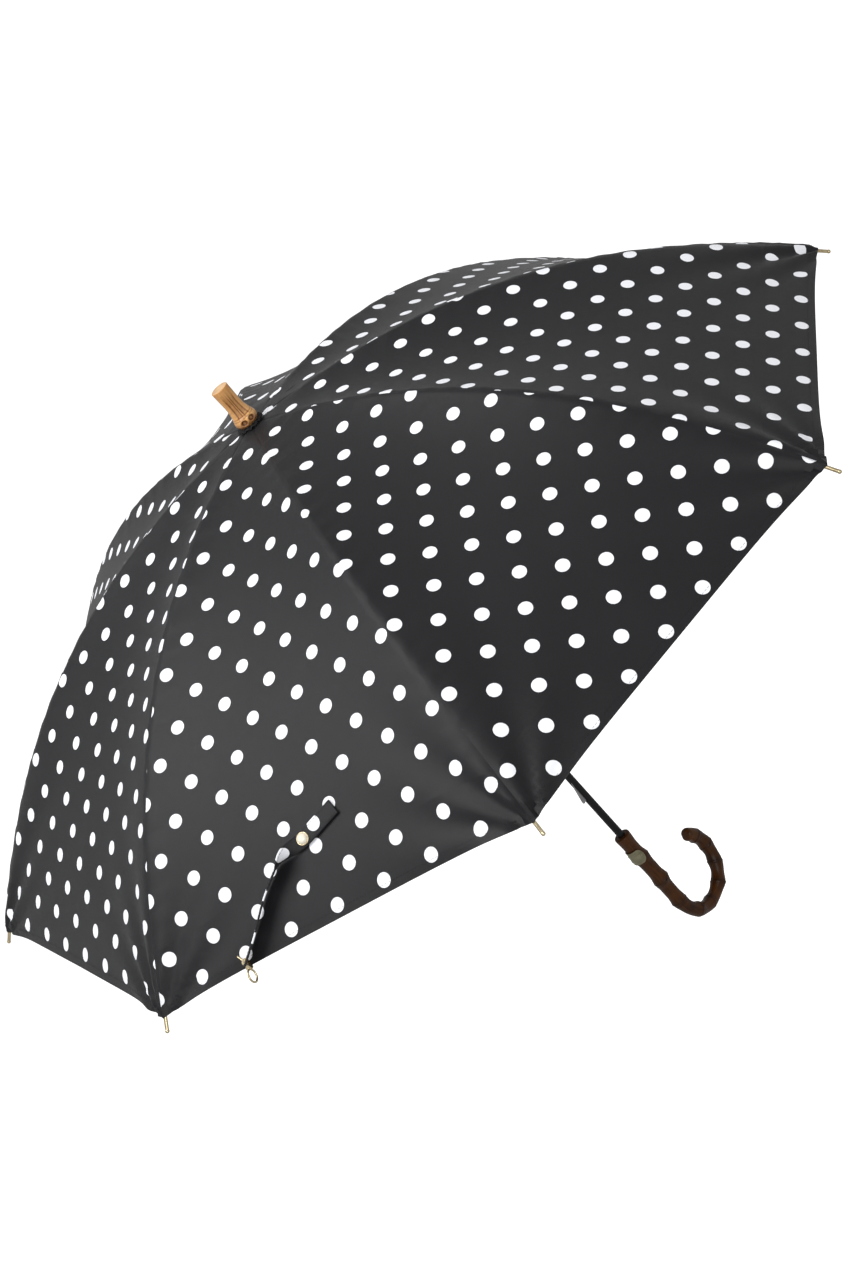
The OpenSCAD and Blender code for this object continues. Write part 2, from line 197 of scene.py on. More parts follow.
class Finish:
    """A material under construction."""

    def __init__(self, name, **sockets):
        self.material = bpy.data.materials.new(name)
        self.material.use_nodes = True
        self.tree = self.material.node_tree
        self.shader = self.tree.nodes["Principled BSDF"]
        self.coords = self.tree.nodes.new("ShaderNodeTexCoord")
        for socket, value in sockets.items():
            self.shader.inputs[socket.replace("_", " ")].default_value = value

    def node(self, kind, settings=None, **sockets):
        made = self.tree.nodes.new("ShaderNode" + kind)
        for key, value in (settings or {}).items():
            setattr(made, key, value)
        for key, value in sockets.items():
            self.feed(made.inputs[key.replace("_", " ")], value)
        return made

    def feed(self, socket, value):
        if isinstance(value, bpy.types.NodeSocket):
            self.tree.links.new(value, socket)
        else:
            socket.default_value = value

    def math(self, operation, a, b=0.0, clamp=False):
        made = self.node("Math", {"operation": operation, "use_clamp": clamp})
        self.feed(made.inputs[0], a)
        self.feed(made.inputs[1], b)
        return made.outputs[0]

    def noise(self, scale, detail=2.0, vector=None, stretch=None, roughness=0.5):
        vector = vector or self.coords.outputs["Object"]
        if stretch:
            vector = self.node("Mapping", Vector=vector, Scale=stretch).outputs[0]
        made = self.node("TexNoise", Vector=vector, Scale=scale, Detail=detail, Roughness=roughness)
        return made.outputs["Fac"]

    def ramp(self, value, stops):
        made = self.node("ValToRGB", Fac=value)
        elements = made.color_ramp.elements
        while len(elements) < len(stops):
            elements.new(0.5)
        for element, (position, colour) in zip(elements, stops):
            element.position = position
            element.color = (*colour, 1.0)
        return made.outputs[0]

    def mix(self, factor, a, b):
        made = self.node("Mix", {"data_type": "RGBA"})
        self.feed(made.inputs[0], factor)
        self.feed(made.inputs[6], a if isinstance(a, bpy.types.NodeSocket) else (*a, 1.0))
        self.feed(made.inputs[7], b if isinstance(b, bpy.types.NodeSocket) else (*b, 1.0))
        return made.outputs[2]

    def range(self, value, low, high):
        made = self.node("MapRange", Value=value)
        made.inputs["To Min"].default_value = low
        made.inputs["To Max"].default_value = high
        return made.outputs[0]

    def colour(self, value):
        self.feed(self.shader.inputs["Base Color"], value)

    def roughness(self, value):
        self.feed(self.shader.inputs["Roughness"], value)

    def bump(self, height, distance, strength=1.0):
        made = self.node("Bump", Strength=strength, Distance=distance, Height=height)
        previous = self.shader.inputs["Normal"]
        if previous.is_linked:
            self.feed(made.inputs["Normal"], previous.links[0].from_socket)
        self.feed(previous, made.outputs[0])


# %% [markdown]
# ## The cloth
# The cloth is black polyester with a white dot print. The dots sit in a five-spot pattern that runs
# along each gore, so a UV map in true metres carries it: `x` runs across the gore and `y` along it.
# Two square lattices, half a step apart, give the five-spot. The inside shows the print's back, a
# faint ghost of the dots.

# %% Cloth finishes
DOT_R = 5.6 * MM
DOT_ACROSS = 42.5 * MM
DOT_ALONG = 46 * MM


def dot_mask(finish):
    """1 inside a printed dot, 0 on the ground, from the UV map in metres."""
    uv = finish.coords.outputs["UV"]
    edge = finish.noise(900.0, 1.0, vector=uv)
    split = finish.node("SeparateXYZ", Vector=uv)
    nearest = None
    for shift in (0.0, 0.5):
        squares = []
        for axis, step in ((0, DOT_ACROSS), (1, DOT_ALONG)):
            share = finish.math("ADD", finish.math("DIVIDE", split.outputs[axis], step), shift)
            offset = finish.math("SUBTRACT", finish.math("FRACT", share), 0.5)
            squares.append(finish.math("POWER", finish.math("MULTIPLY", offset, step), 2.0))
        away = finish.math("SQRT", finish.math("ADD", squares[0], squares[1]))
        nearest = away if nearest is None else finish.math("MINIMUM", nearest, away)
    wobble = finish.math("MULTIPLY", finish.math("SUBTRACT", edge, 0.5), 0.25 * MM)
    inside = finish.math("SUBTRACT", DOT_R, finish.math("ADD", nearest, wobble))
    return finish.math("DIVIDE", inside, 0.18 * MM, clamp=True)


def weave(finish, threads, depth):
    """The fine plain weave of the cloth, as crossed ripples."""
    uv = finish.coords.outputs["UV"]
    split = finish.node("SeparateXYZ", Vector=uv)
    waves = [finish.math("SINE", finish.math("MULTIPLY", split.outputs[axis], threads)) for axis in (0, 1)]
    finish.bump(finish.math("MULTIPLY", waves[0], waves[1]), depth)


def cloth(name, ground, print_colour, rough):
    finish = Finish(name, Specular_IOR_Level=0.22, Sheen_Weight=0.04, Sheen_Roughness=0.4)
    mask = dot_mask(finish)
    drift = finish.noise(14.0, 3.0)
    base = finish.ramp(drift, [(0.3, tuple(0.82 * c for c in ground)), (0.75, ground)])
    finish.colour(finish.mix(mask, base, print_colour))
    grain = finish.range(finish.noise(320.0, 2.0), rough - 0.05, rough + 0.07)
    finish.roughness(grain)
    weave(finish, 2 * math.pi / (0.45 * MM), 0.02 * MM)
    finish.bump(finish.noise(60.0, 3.0), 0.25 * MM, 0.35)
    finish.bump(mask, 0.03 * MM)
    return finish.material


outer_cloth = cloth("dotted cloth, outside", (0.0105, 0.0105, 0.012), (0.83, 0.84, 0.88), 0.42)
inner_cloth = cloth("dotted cloth, inside", (0.012, 0.012, 0.0135), (0.06, 0.06, 0.068), 0.6)


def plain_cloth(name, colour):
    finish = Finish(name, Sheen_Weight=0.06, Sheen_Roughness=0.5, Specular_IOR_Level=0.2)
    speckle = finish.noise(700.0, 2.0)
    finish.colour(finish.ramp(speckle, [(0.3, tuple(0.6 * c for c in colour)), (0.7, colour)]))
    finish.roughness(finish.range(speckle, 0.62, 0.85))
    finish.bump(finish.noise(1400.0, 1.0), 0.08 * MM, 0.6)
    return finish.material


black_cloth = plain_cloth("black trim cloth", (0.007, 0.007, 0.008))
thread = plain_cloth("black thread", (0.012, 0.012, 0.013))

# %% [markdown]
# ## Metal, nylon, pearl and cane
# Metals get streaks along the piece and a little wear, so that highlights break up. Cane is the
# showpiece: long fibres, blotchy stain, dark rings at the knots and a hard varnish on top. The knots
# are stored on the mesh as an attribute, because only the shape knows where they are. On the ferrule
# the same attribute also carries painted shade along the grooves and a painted shadow at the foot.

# %% Metal and moulded finishes


def painted_steel(name, colour, rough):
    finish = Finish(name, Specular_IOR_Level=0.2, Coat_Weight=0.08, Coat_Roughness=0.25)
    wear = finish.noise(90.0, 6.0, roughness=0.7)
    finish.colour(finish.ramp(wear, [(0.35, tuple(0.7 * c for c in colour)), (0.72, colour)]))
    finish.roughness(finish.range(finish.noise(260.0, 4.0), rough - 0.08, rough + 0.1))
    finish.bump(finish.noise(900.0, 2.0), 0.02 * MM, 0.5)
    return finish.material


def bare_metal(name, light, dark, rough, stretch):
    finish = Finish(name, Metallic=1.0)
    streaks = finish.noise(500.0, 3.0, stretch=stretch)
    tarnish = finish.noise(70.0, 5.0, roughness=0.65)
    both = finish.math("ADD", finish.math("MULTIPLY", streaks, 0.4), finish.math("MULTIPLY", tarnish, 0.6))
    finish.colour(finish.ramp(both, [(0.36, dark), (0.6, light)]))
    finish.roughness(finish.range(streaks, rough - 0.07, rough + 0.12))
    finish.bump(streaks, 0.015 * MM, 0.5)
    return finish.material


black_steel = painted_steel("black painted steel", (0.006, 0.006, 0.007), 0.36)
bright_wire = bare_metal("bright wire", (0.72, 0.72, 0.71), (0.42, 0.42, 0.42), 0.26, (1, 1, 0.2))
spring_steel = bare_metal("grey spring steel", (0.4, 0.4, 0.41), (0.2, 0.2, 0.21), 0.34, (1, 1, 0.1))
champagne = bare_metal("champagne plating", (0.74, 0.64, 0.42), (0.42, 0.33, 0.19), 0.22, (1, 1, 0.4))
plate_metal = bare_metal("brushed plate", (0.30, 0.28, 0.19), (0.16, 0.145, 0.09), 0.36, (0.15, 0.15, 1))


def nylon():
    finish = Finish("black nylon", Specular_IOR_Level=0.45)
    speckle = finish.noise(420.0, 3.0)
    finish.colour(finish.ramp(speckle, [(0.3, (0.014, 0.014, 0.015)), (0.7, (0.028, 0.028, 0.03))]))
    finish.roughness(finish.range(speckle, 0.38, 0.52))
    finish.bump(finish.noise(1500.0, 2.0), 0.03 * MM, 0.5)
    return finish.material


def pearl():
    finish = Finish("cream pearl", Coat_Weight=0.8, Coat_Roughness=0.06, Sheen_Weight=0.2)
    swirl = finish.noise(170.0, 4.0, roughness=0.6)
    finish.colour(finish.ramp(swirl, [(0.3, (0.74, 0.64, 0.47)), (0.5, (0.86, 0.80, 0.66)),
                                      (0.72, (0.93, 0.90, 0.83))]))
    finish.roughness(finish.range(swirl, 0.16, 0.3))
    return finish.material


black_nylon = nylon()
cream_pearl = pearl()

# %% Cane finishes


def cane(name, light, dark, knot_and_shade_colour, scar_colour, fibre_stretch, varnish):
    """Varnished cane. One attribute darkens the knot rings, and on the ferrule it also paints shade along
    the grooves and a shadow round the foot; another darkens the root buds.
    """
    finish = Finish(name, Coat_Weight=varnish, Coat_Roughness=0.12, Specular_IOR_Level=0.14)
    uv = finish.coords.outputs["UV"]
    fibres = finish.noise(1000.0, 5.0, vector=uv, stretch=fibre_stretch, roughness=0.7)
    broad = finish.noise(45.0, 3.0)
    blend = finish.math("ADD", finish.math("MULTIPLY", fibres, 0.55), finish.math("MULTIPLY", broad, 0.45))
    base = finish.ramp(blend, [(0.36, dark), (0.52, tuple((a + b) / 2 for a, b in zip(light, dark))),
                               (0.66, light)])
    # this attribute darkens the knot rings; on the ferrule it also carries painted shade in the grooves and
    # a painted shadow at the foot
    knot_and_shade = finish.node("Attribute", {"attribute_name": "knot_and_shade"}).outputs["Fac"]
    scar = finish.node("Attribute", {"attribute_name": "scar"}).outputs["Fac"]
    ragged = finish.math("MULTIPLY", knot_and_shade, finish.range(finish.noise(420.0, 3.0), 0.5, 1.25), clamp=True)
    ringed_and_shaded = finish.mix(ragged, base, knot_and_shade_colour)
    finish.colour(finish.mix(scar, ringed_and_shaded, scar_colour))
    finish.roughness(finish.range(fibres, 0.3, 0.48))
    finish.bump(fibres, 0.1 * MM, 0.5)
    finish.bump(finish.noise(160.0, 3.0), 0.25 * MM, 0.4)
    return finish.material


dark_cane = cane("dark cane", (0.088, 0.029, 0.005), (0.016, 0.0055, 0.0015), (0.007, 0.0026, 0.0012),
                 (0.011, 0.004, 0.0015), (1, 0.05, 1), 0.06)
# on the ferrule the third colour is also the colour of the painted groove shade and foot shadow
honey_cane = cane("honey cane", (0.78, 0.46, 0.19), (0.47, 0.2, 0.055), (0.13, 0.034, 0.006),
                  (0.09, 0.024, 0.005), (1, 0.06, 1), 0.3)


def sawn_end():
    """The sawn top of the ferrule: paler, with the pores of the fibres."""
    finish = Finish("sawn cane", Coat_Weight=0.3, Coat_Roughness=0.3)
    place = finish.coords.outputs["Object"]
    pores = finish.node("TexVoronoi", Vector=place, Scale=1500.0).outputs["Distance"]
    tone = finish.noise(130.0, 3.0)
    pale = finish.ramp(tone, [(0.35, (0.52, 0.31, 0.15)), (0.65, (0.66, 0.43, 0.22))])
    specks = finish.math("LESS_THAN", pores, 0.16)
    finish.colour(finish.mix(finish.math("MULTIPLY", specks, 0.55), pale, (0.26, 0.11, 0.04)))
    finish.roughness(finish.range(tone, 0.42, 0.58))
    finish.bump(pores, 0.06 * MM, 0.5)
    return finish.material


sawn_cane = sawn_end()
print("finishes:", len(bpy.data.materials))

# %% [markdown]
# ## Finishes on the CAD nodes
# Every node that stays visible gets its finish here, by putting the material in its slots.

# %% Give the CAD nodes their finishes


def paint(node, material):
    mesh = frame["nodes"][node].data
    mesh.materials.clear()
    mesh.materials.append(material)


for number in range(1, RIBS + 1):
    paint(f"rib_{number}", black_steel)
    paint(f"stretcher_{number}", black_steel)
    paint(f"rivet_{number}", bright_wire)
    paint(f"rib_tip_{number}", champagne)
for node, material in (("shaft", black_steel), ("crown", black_nylon), ("runner", black_nylon),
                       ("crown_wire", bright_wire), ("runner_wire", bright_wire),
                       ("crown_pin", bright_wire), ("stop_pin", bright_wire),
                       ("spring_pins", bright_wire), ("top_spring", spring_steel),
                       ("bottom_spring", spring_steel), ("strap_clip", champagne),
                       ("strap_swivel", champagne)):
    paint(node, material)

# %% [markdown]
# ## The dotted canopy
# A real canopy is eight gores sewn together along the ribs. Between two ribs the stretched cloth is
# straight across and curved only lengthways, so it can be laid out flat and its dots stay round.
#
# When the ribs close, the cloth between them gathers. Each half gore is cut into bands along its rib,
# and each band hangs on its rib. For each band the script works out how much cloth it would keep if
# squashed towards its own stretch of rib, by as much as keeps the closed cloth meeting at the middle
# of the gore, but the bands are not squashed. Open, the bands join without a visible line: they share
# their edge points, and the curve runs on through them.

# %% One half gore, as points
BANDS = 12
BAND_ROWS = 9
ACROSS = 30
SAG = 12 * MM
FOLD = math.radians(joints["fold"]["range_deg"][1])
HINGE = np.array([joints["fold"]["pos_m"][0], joints["fold"]["pos_m"][2]])
# How far each gore's print is shifted, across and along, in mm: no two gores are cut alike
PRINT_SHIFT = [(5, 9), (-8, 20), (9, 2), (-7, 13), (3, -7), (-3, -7), (11, 14), (-4, 12)]


def sag(u, share):
    """How far the taut cloth is pulled in between two ribs."""
    off = np.clip(share - 0.03, 0, None) / 0.97
    return SAG * np.sin(math.pi * np.clip((u - 0.05) / 0.95, 0, 1)) * off * (2 - off) * np.cos(gore_fall(u))


def puckers(u, share, side, number):
    """Small lifts of the cloth off the plain chord between two ribs."""
    arc = np.interp(u, arc_u, arc_len)
    chord = profile_r(u) * math.sin(HALF)
    off_rib = share * chord
    to_tip = np.hypot(off_rib, arc_len[-1] - arc) + 1e-6
    turn = np.arctan2(off_rib, np.maximum(arc_len[-1] - arc, 1e-6))
    phase = 1.7 * number + 0.9 * side
    fan = 3.3 * MM * np.exp(-to_tip / 0.1) * (1 - np.exp(-to_tip / 0.012))
    fan = fan * np.sin(turn * (11 + 1.5 * math.sin(phase))) * (1 - share) ** 1.5
    sewn = 0.3 * MM * np.sin(arc * 2 * math.pi / 0.021 + 2.5 * np.sin(arc * 41 + phase))
    sewn = sewn * (off_rib / 0.006) * np.exp(1 - off_rib / 0.006)
    seam = -0.35 * MM * np.exp(-(off_rib / (1.6 * MM)) ** 2)
    dip = -sag(u, share)
    slack = 0.5 * MM * np.sin(arc * 26 + phase) * np.sin(math.pi * share) * np.clip(u, 0, 1)
    return fan + sewn + seam + dip + slack


def gore_points(number, side, us, shares, lift=0.0):
    """Points of a half gore: us run down the rib, shares run from the rib to the gore's middle."""
    angle = (number - 1) * PITCH
    out, square = spoke(angle)
    middle = spoke(angle + side * HALF)[0]
    chord = profile_r(us) * math.sin(HALF) * shares
    steep = gore_fall(us)
    normal = np.sin(steep)[..., None] * middle + np.cos(steep)[..., None] * UP
    flat = (profile_r(us) - chord * math.sin(HALF))[..., None] * out
    flat = flat + (side * chord * math.cos(HALF))[..., None] * square + profile_z(us)[..., None] * UP
    raised = puckers(us, shares, side, number) + lift
    return flat + raised[..., None] * normal


def gore_uv(number, side, us, shares):
    """The same points laid flat, in metres, with the gore's own shift of the print."""
    gore = (number - 1) if side > 0 else (number - 2) % RIBS
    across = -side * profile_r(us) * math.sin(HALF) * (1 - shares)
    shift = PRINT_SHIFT[gore]
    return np.stack([across - shift[0] * MM, np.interp(us, arc_u, arc_len) - shift[1] * MM], axis=-1)


# %% How each band gathers
EASE = 1.06         # cloth kept, over the least that closes the gore


def gather(number, side, u):
    """Axis, anchor and share kept that lay the cloth at u against its rib when the ribs close."""
    out, square = spoke((number - 1) * PITCH)
    steep = float(fall(u))
    normal = math.sin(steep) * out + math.cos(steep) * UP
    axis = side * square - math.tan(HALF) * math.sin(steep) * normal
    anchor = profile_r(u) * out + profile_z(u) * UP
    axis /= np.linalg.norm(axis)
    middle = gore_points(number, side, np.array([u]), np.array([1.0]))[0] - anchor
    along_axis = float(middle @ axis)

    def closed(vector, hinge):
        """How far out a vector reaches once its rib has folded."""
        reach, high = vector @ out - hinge[0], vector[2] - hinge[1]
        return hinge[0] + reach * math.cos(FOLD) + high * math.sin(FOLD)

    rest = middle - along_axis * axis
    room = math.tan(HALF) * closed(anchor + rest, HINGE) - side * float(rest @ square)
    need = along_axis * (side * float(axis @ square) - math.tan(HALF) * closed(axis, (0.0, 0.0)))
    return axis, anchor, float(np.clip(EASE * room / need, 0.04, 1.0))


edges = np.linspace(0.0, 1.0, BANDS + 1) ** 0.9
print("cloth kept in each band:", [round(gather(1, 1, float(e))[2], 2) for e in edges[1:]])

# %% Sew the bands
HEM_U = 0.0145228       # the turned-in hem, about 9 mm, as a share of the curve


def make_band(number, side, band):
    down = np.linspace(edges[band], edges[band + 1], BAND_ROWS)[:, None]
    shares = np.broadcast_to(np.linspace(0.0, 1.0, ACROSS)[None, :] ** 1.25, (BAND_ROWS, ACROSS))
    us = CROWN_U + (hem_u(shares) - CROWN_U) * down
    points = gore_points(number, side, us, shares).reshape(-1, 3)
    flat = gore_uv(number, side, us, shares).reshape(-1, 2)
    faces = grid_faces(BAND_ROWS, ACROSS)
    on_top = len(faces)
    if band == BANDS - 1:
        turned_in = hem_u(shares[:4]) - HEM_U * np.linspace(1.0, 0.0, 4)[:, None]
        points = np.concatenate([points, gore_points(number, side, turned_in, shares[:4],
                                                     -1.25 * CLOTH_T).reshape(-1, 3)])
        flat = np.concatenate([flat, gore_uv(number, side, turned_in, shares[:4]).reshape(-1, 2)])
        first = BAND_ROWS * ACROSS
        faces += [tuple(first + k for k in face) for face in grid_faces(4, ACROSS)]
    if side < 0:
        faces = [face[::-1] for face in faces]
    letter = "a" if side > 0 else "b"
    piece = make_piece(f"canopy_{number}{letter}_{band + 1:02d}", points, faces, outer_cloth)
    set_uv(piece, flat)
    for lining in (inner_cloth, outer_cloth):
        piece.data.materials.append(lining)
    for polygon in piece.data.polygons[on_top:]:
        polygon.material_index = 1
    shell = piece.modifiers.new("thickness", "SOLIDIFY")
    shell.thickness = CLOTH_T
    shell.offset = -1
    shell.use_even_offset = True
    shell.material_offset = 1
    apply_modifiers(piece)
    piece.data.set_sharp_from_angle(angle=math.radians(40))
    middle = float(us[BAND_ROWS // 2, 0])
    axis, anchor, keep = gather(number, side, middle)
    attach(piece, f"rib_{number}")
    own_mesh(piece)
    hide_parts(f"canopy_{number}")
    return piece


canopy = [make_band(number, side, band) for number in range(1, RIBS + 1) for side in (1, -1)
          for band in range(BANDS)]
print("canopy bands:", len(canopy))

# %% [markdown]
# ## Stitches, by Geometry Nodes
# A seam is the same small stitch again and again along a line. A Geometry Nodes tree does that: it
# walks a path in equal steps, sets a short rod of thread on each step, turned along the path, and
# then makes the copies real. The hem, the strap and the ties round the ribs all share the tree.

# %% A tree that repeats a shape along a path


def path_tree(name, add_shape, material):
    """A tree with the inputs Spacing, Length and Thickness, and a shape made by add_shape."""
    tree = bpy.data.node_groups.new(name, "GeometryNodeTree")
    tree.interface.new_socket("Path", in_out="INPUT", socket_type="NodeSocketGeometry")
    for label, size in (("Spacing", 3 * MM), ("Length", 2 * MM), ("Thickness", 0.2 * MM)):
        socket = tree.interface.new_socket(label, in_out="INPUT", socket_type="NodeSocketFloat")
        socket.default_value = size
    tree.interface.new_socket("Mesh", in_out="OUTPUT", socket_type="NodeSocketGeometry")
    start = tree.nodes.new("NodeGroupInput")
    curve = tree.nodes.new("GeometryNodeMeshToCurve")
    steps = tree.nodes.new("GeometryNodeCurveToPoints")
    steps.mode = "LENGTH"
    copies = tree.nodes.new("GeometryNodeInstanceOnPoints")
    real = tree.nodes.new("GeometryNodeRealizeInstances")
    finish = tree.nodes.new("GeometryNodeSetMaterial")
    finish.inputs["Material"].default_value = material
    end = tree.nodes.new("NodeGroupOutput")
    link = tree.links.new
    link(start.outputs["Path"], curve.inputs["Mesh"])
    link(curve.outputs["Curve"], steps.inputs["Curve"])
    link(start.outputs["Spacing"], steps.inputs["Length"])
    link(steps.outputs["Points"], copies.inputs["Points"])
    link(steps.outputs["Rotation"], copies.inputs["Rotation"])
    link(add_shape(tree, start), copies.inputs["Instance"])
    link(copies.outputs["Instances"], real.inputs["Geometry"])
    link(real.outputs["Geometry"], finish.inputs["Geometry"])
    link(finish.outputs["Geometry"], end.inputs["Mesh"])
    return tree


def rod(tree, start):
    """One stitch: a short six-sided rod of thread along the path."""
    made = tree.nodes.new("GeometryNodeMeshCylinder")
    made.inputs["Vertices"].default_value = 6
    tree.links.new(start.outputs["Length"], made.inputs["Depth"])
    tree.links.new(start.outputs["Thickness"], made.inputs["Radius"])
    return made.outputs["Mesh"]


def ring(tree, start):
    """One tie: a loop of thread round the path. Its Length is the loop's radius."""
    loop = tree.nodes.new("GeometryNodeCurvePrimitiveCircle")
    loop.inputs["Resolution"].default_value = 20
    strand = tree.nodes.new("GeometryNodeCurvePrimitiveCircle")
    strand.inputs["Resolution"].default_value = 6
    made = tree.nodes.new("GeometryNodeCurveToMesh")
    tree.links.new(start.outputs["Length"], loop.inputs["Radius"])
    tree.links.new(start.outputs["Thickness"], strand.inputs["Radius"])
    tree.links.new(loop.outputs["Curve"], made.inputs["Curve"])
    tree.links.new(strand.outputs["Curve"], made.inputs["Profile Curve"])
    return made.outputs["Mesh"]


stitch_tree = path_tree("stitches along a path", rod, thread)
tie_tree = path_tree("ties round a path", ring, thread)


def along(name, tree, paths, spacing, length, thickness):
    """Runs a tree over one or more lines of points, and keeps the result as a plain mesh."""
    lines = [np.asarray(path).reshape(-1, 3) for path in paths]
    mesh = bpy.data.meshes.new(name)
    links, first = [], 0
    for line in lines:
        links += [(first + k, first + k + 1) for k in range(len(line) - 1)]
        first += len(line)
    mesh.from_pydata([tuple(map(float, p)) for line in lines for p in line], links, [])
    piece = bpy.data.objects.new(name, mesh)
    bpy.context.scene.collection.objects.link(piece)
    modifier = piece.modifiers.new("repeat", "NODES")
    modifier.node_group = tree
    sizes = {"Spacing": spacing, "Length": length, "Thickness": thickness}
    for item in tree.interface.items_tree:
        if item.item_type == "SOCKET" and item.in_out == "INPUT" and item.name in sizes:
            modifier[item.identifier] = float(sizes[item.name])
    apply_modifiers(piece)
    piece.data.polygons.foreach_set("use_smooth", [True] * len(piece.data.polygons))
    return piece


print("trees:", [tree.name for tree in bpy.data.node_groups])

# %% [markdown]
# ## Hem stitches and rib ties
# The hem is turned in once and sewn 6 mm from the edge. Its stitches hang on the same rib as the
# last band of cloth. On the underside, three loops of thread tie each rib to the seam above it.

# %% Sew the hem
SEWN_U = 0.0103734      # from the edge to the stitches, about 6 mm, as a share of the curve


def sew_hem(number, side):
    shares = np.linspace(0.015, 1.0, 60)
    us = hem_u(shares) - SEWN_U
    over = gore_points(number, side, us, shares, 0.06 * MM)
    under = gore_points(number, side, us, shares, -2.4 * CLOTH_T)
    letter = "a" if side > 0 else "b"
    piece = along(f"hem_stitch_{number}{letter}", stitch_tree, [over, under], 3.2 * MM, 2.2 * MM, 0.1 * MM)
    down = (edges[BANDS - 1] + edges[BANDS]) / 2
    axis, anchor, keep = gather(number, side, CROWN_U + (HEM_RIB - CROWN_U) * down)
    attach(piece, f"rib_{number}")
    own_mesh(piece)
    return piece


TIES_AT = (0.3, 0.62, 0.86)
TIE_DEPTH = 3.05 * MM


def tie_rib(number):
    out, square = spoke((number - 1) * PITCH)
    loops = []
    for u in TIES_AT:
        us = u + np.linspace(-0.6, 0.6, 3) * MM / TIP_R
        steep = fall(us)[:, None]
        inward = -np.sin(steep) * out - np.cos(steep) * UP
        loops.append(profile_r(us)[:, None] * out + profile_z(us)[:, None] * UP + TIE_DEPTH * inward)
    piece = along(f"rib_ties_{number}", tie_tree, loops, 0.55 * MM, 2.5 * MM, 0.24 * MM)
    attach(piece, f"rib_{number}")
    return piece


hems = [sew_hem(number, side) for number in range(1, RIBS + 1) for side in (1, -1)]
ties = [tie_rib(number) for number in range(1, RIBS + 1)]
print("hem pieces:", len(hems), "faces in one:", len(hems[0].data.polygons), "ties:", len(ties))

# %% [markdown]
# ## The rosette
# A little gathered ruffle of black cloth hides the hole where the ferrule leaves the canopy. It is a
# ring of cloth whose outer edge waves up and down, with a finer pleat towards the middle.

# %% Gather the rosette
FERRULE_FOOT = CROWN_Z + 3.4 * MM


def make_rosette():
    turns = np.linspace(0, 2 * math.pi, 144, endpoint=False)[None, :]
    out = np.linspace(0.0, 1.0, 12)[:, None]
    radius = (7.2 + 5.3 * out + 0.35 * out * np.sin(5 * turns + 0.7)) * MM
    wave = 0.75 * np.sin(13 * turns + 0.8 * np.sin(3 * turns)) + 0.3 * np.sin(24 * turns + 1.0)
    height = CROWN_Z + (2.5 - 0.5 * out**2 + 0.8 * out * wave) * MM
    points = np.stack([radius * np.cos(turns), radius * np.sin(turns), height + 0 * radius], axis=-1)
    piece = make_piece("rosette_ruffle", points, grid_faces(12, 144, closed=True), black_cloth)
    shell = piece.modifiers.new("thickness", "SOLIDIFY")
    shell.thickness = 0.5 * MM
    shell.offset = 0
    apply_modifiers(piece)
    recalculate_normals(piece)
    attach(piece, "shaft")
    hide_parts("rosette")
    return piece


rosette = make_rosette()
print("rosette faces:", len(rosette.data.polygons))

# %% [markdown]
# ## The cane ferrule
# The ferrule is a stub of root cane, standing on the crown. Two buds near its foot left round
# scars, and above each bud the cane grew a long groove with a soft ridge in it. The stub is turned
# from a profile, and the buds and grooves push its surface in and out. Its top is sawn flat. Its
# colour has painted shade along the edges of each groove and a painted shadow round its foot.

# %% Shape the ferrule
FERRULE_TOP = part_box("ferrule")[1][2]
FERRULE_PROFILE = [(0, 8.7), (1.2, 9.7), (3, 10.4), (5, 10.3), (8, 9.5), (11, 8.4), (15, 7.6), (21, 7.3),
                   (30, 7.6), (37.3, 7.8)]
BUDS = [(math.radians(-149), 4.4), (math.radians(-107), 4.6)]


def bell(distance, width):
    return np.exp(-(distance / width) ** 2)


def around(angle, centre, radius):
    """Signed distance round the cane from a direction."""
    return ((angle - centre + math.pi) % (2 * math.pi) - math.pi) * radius


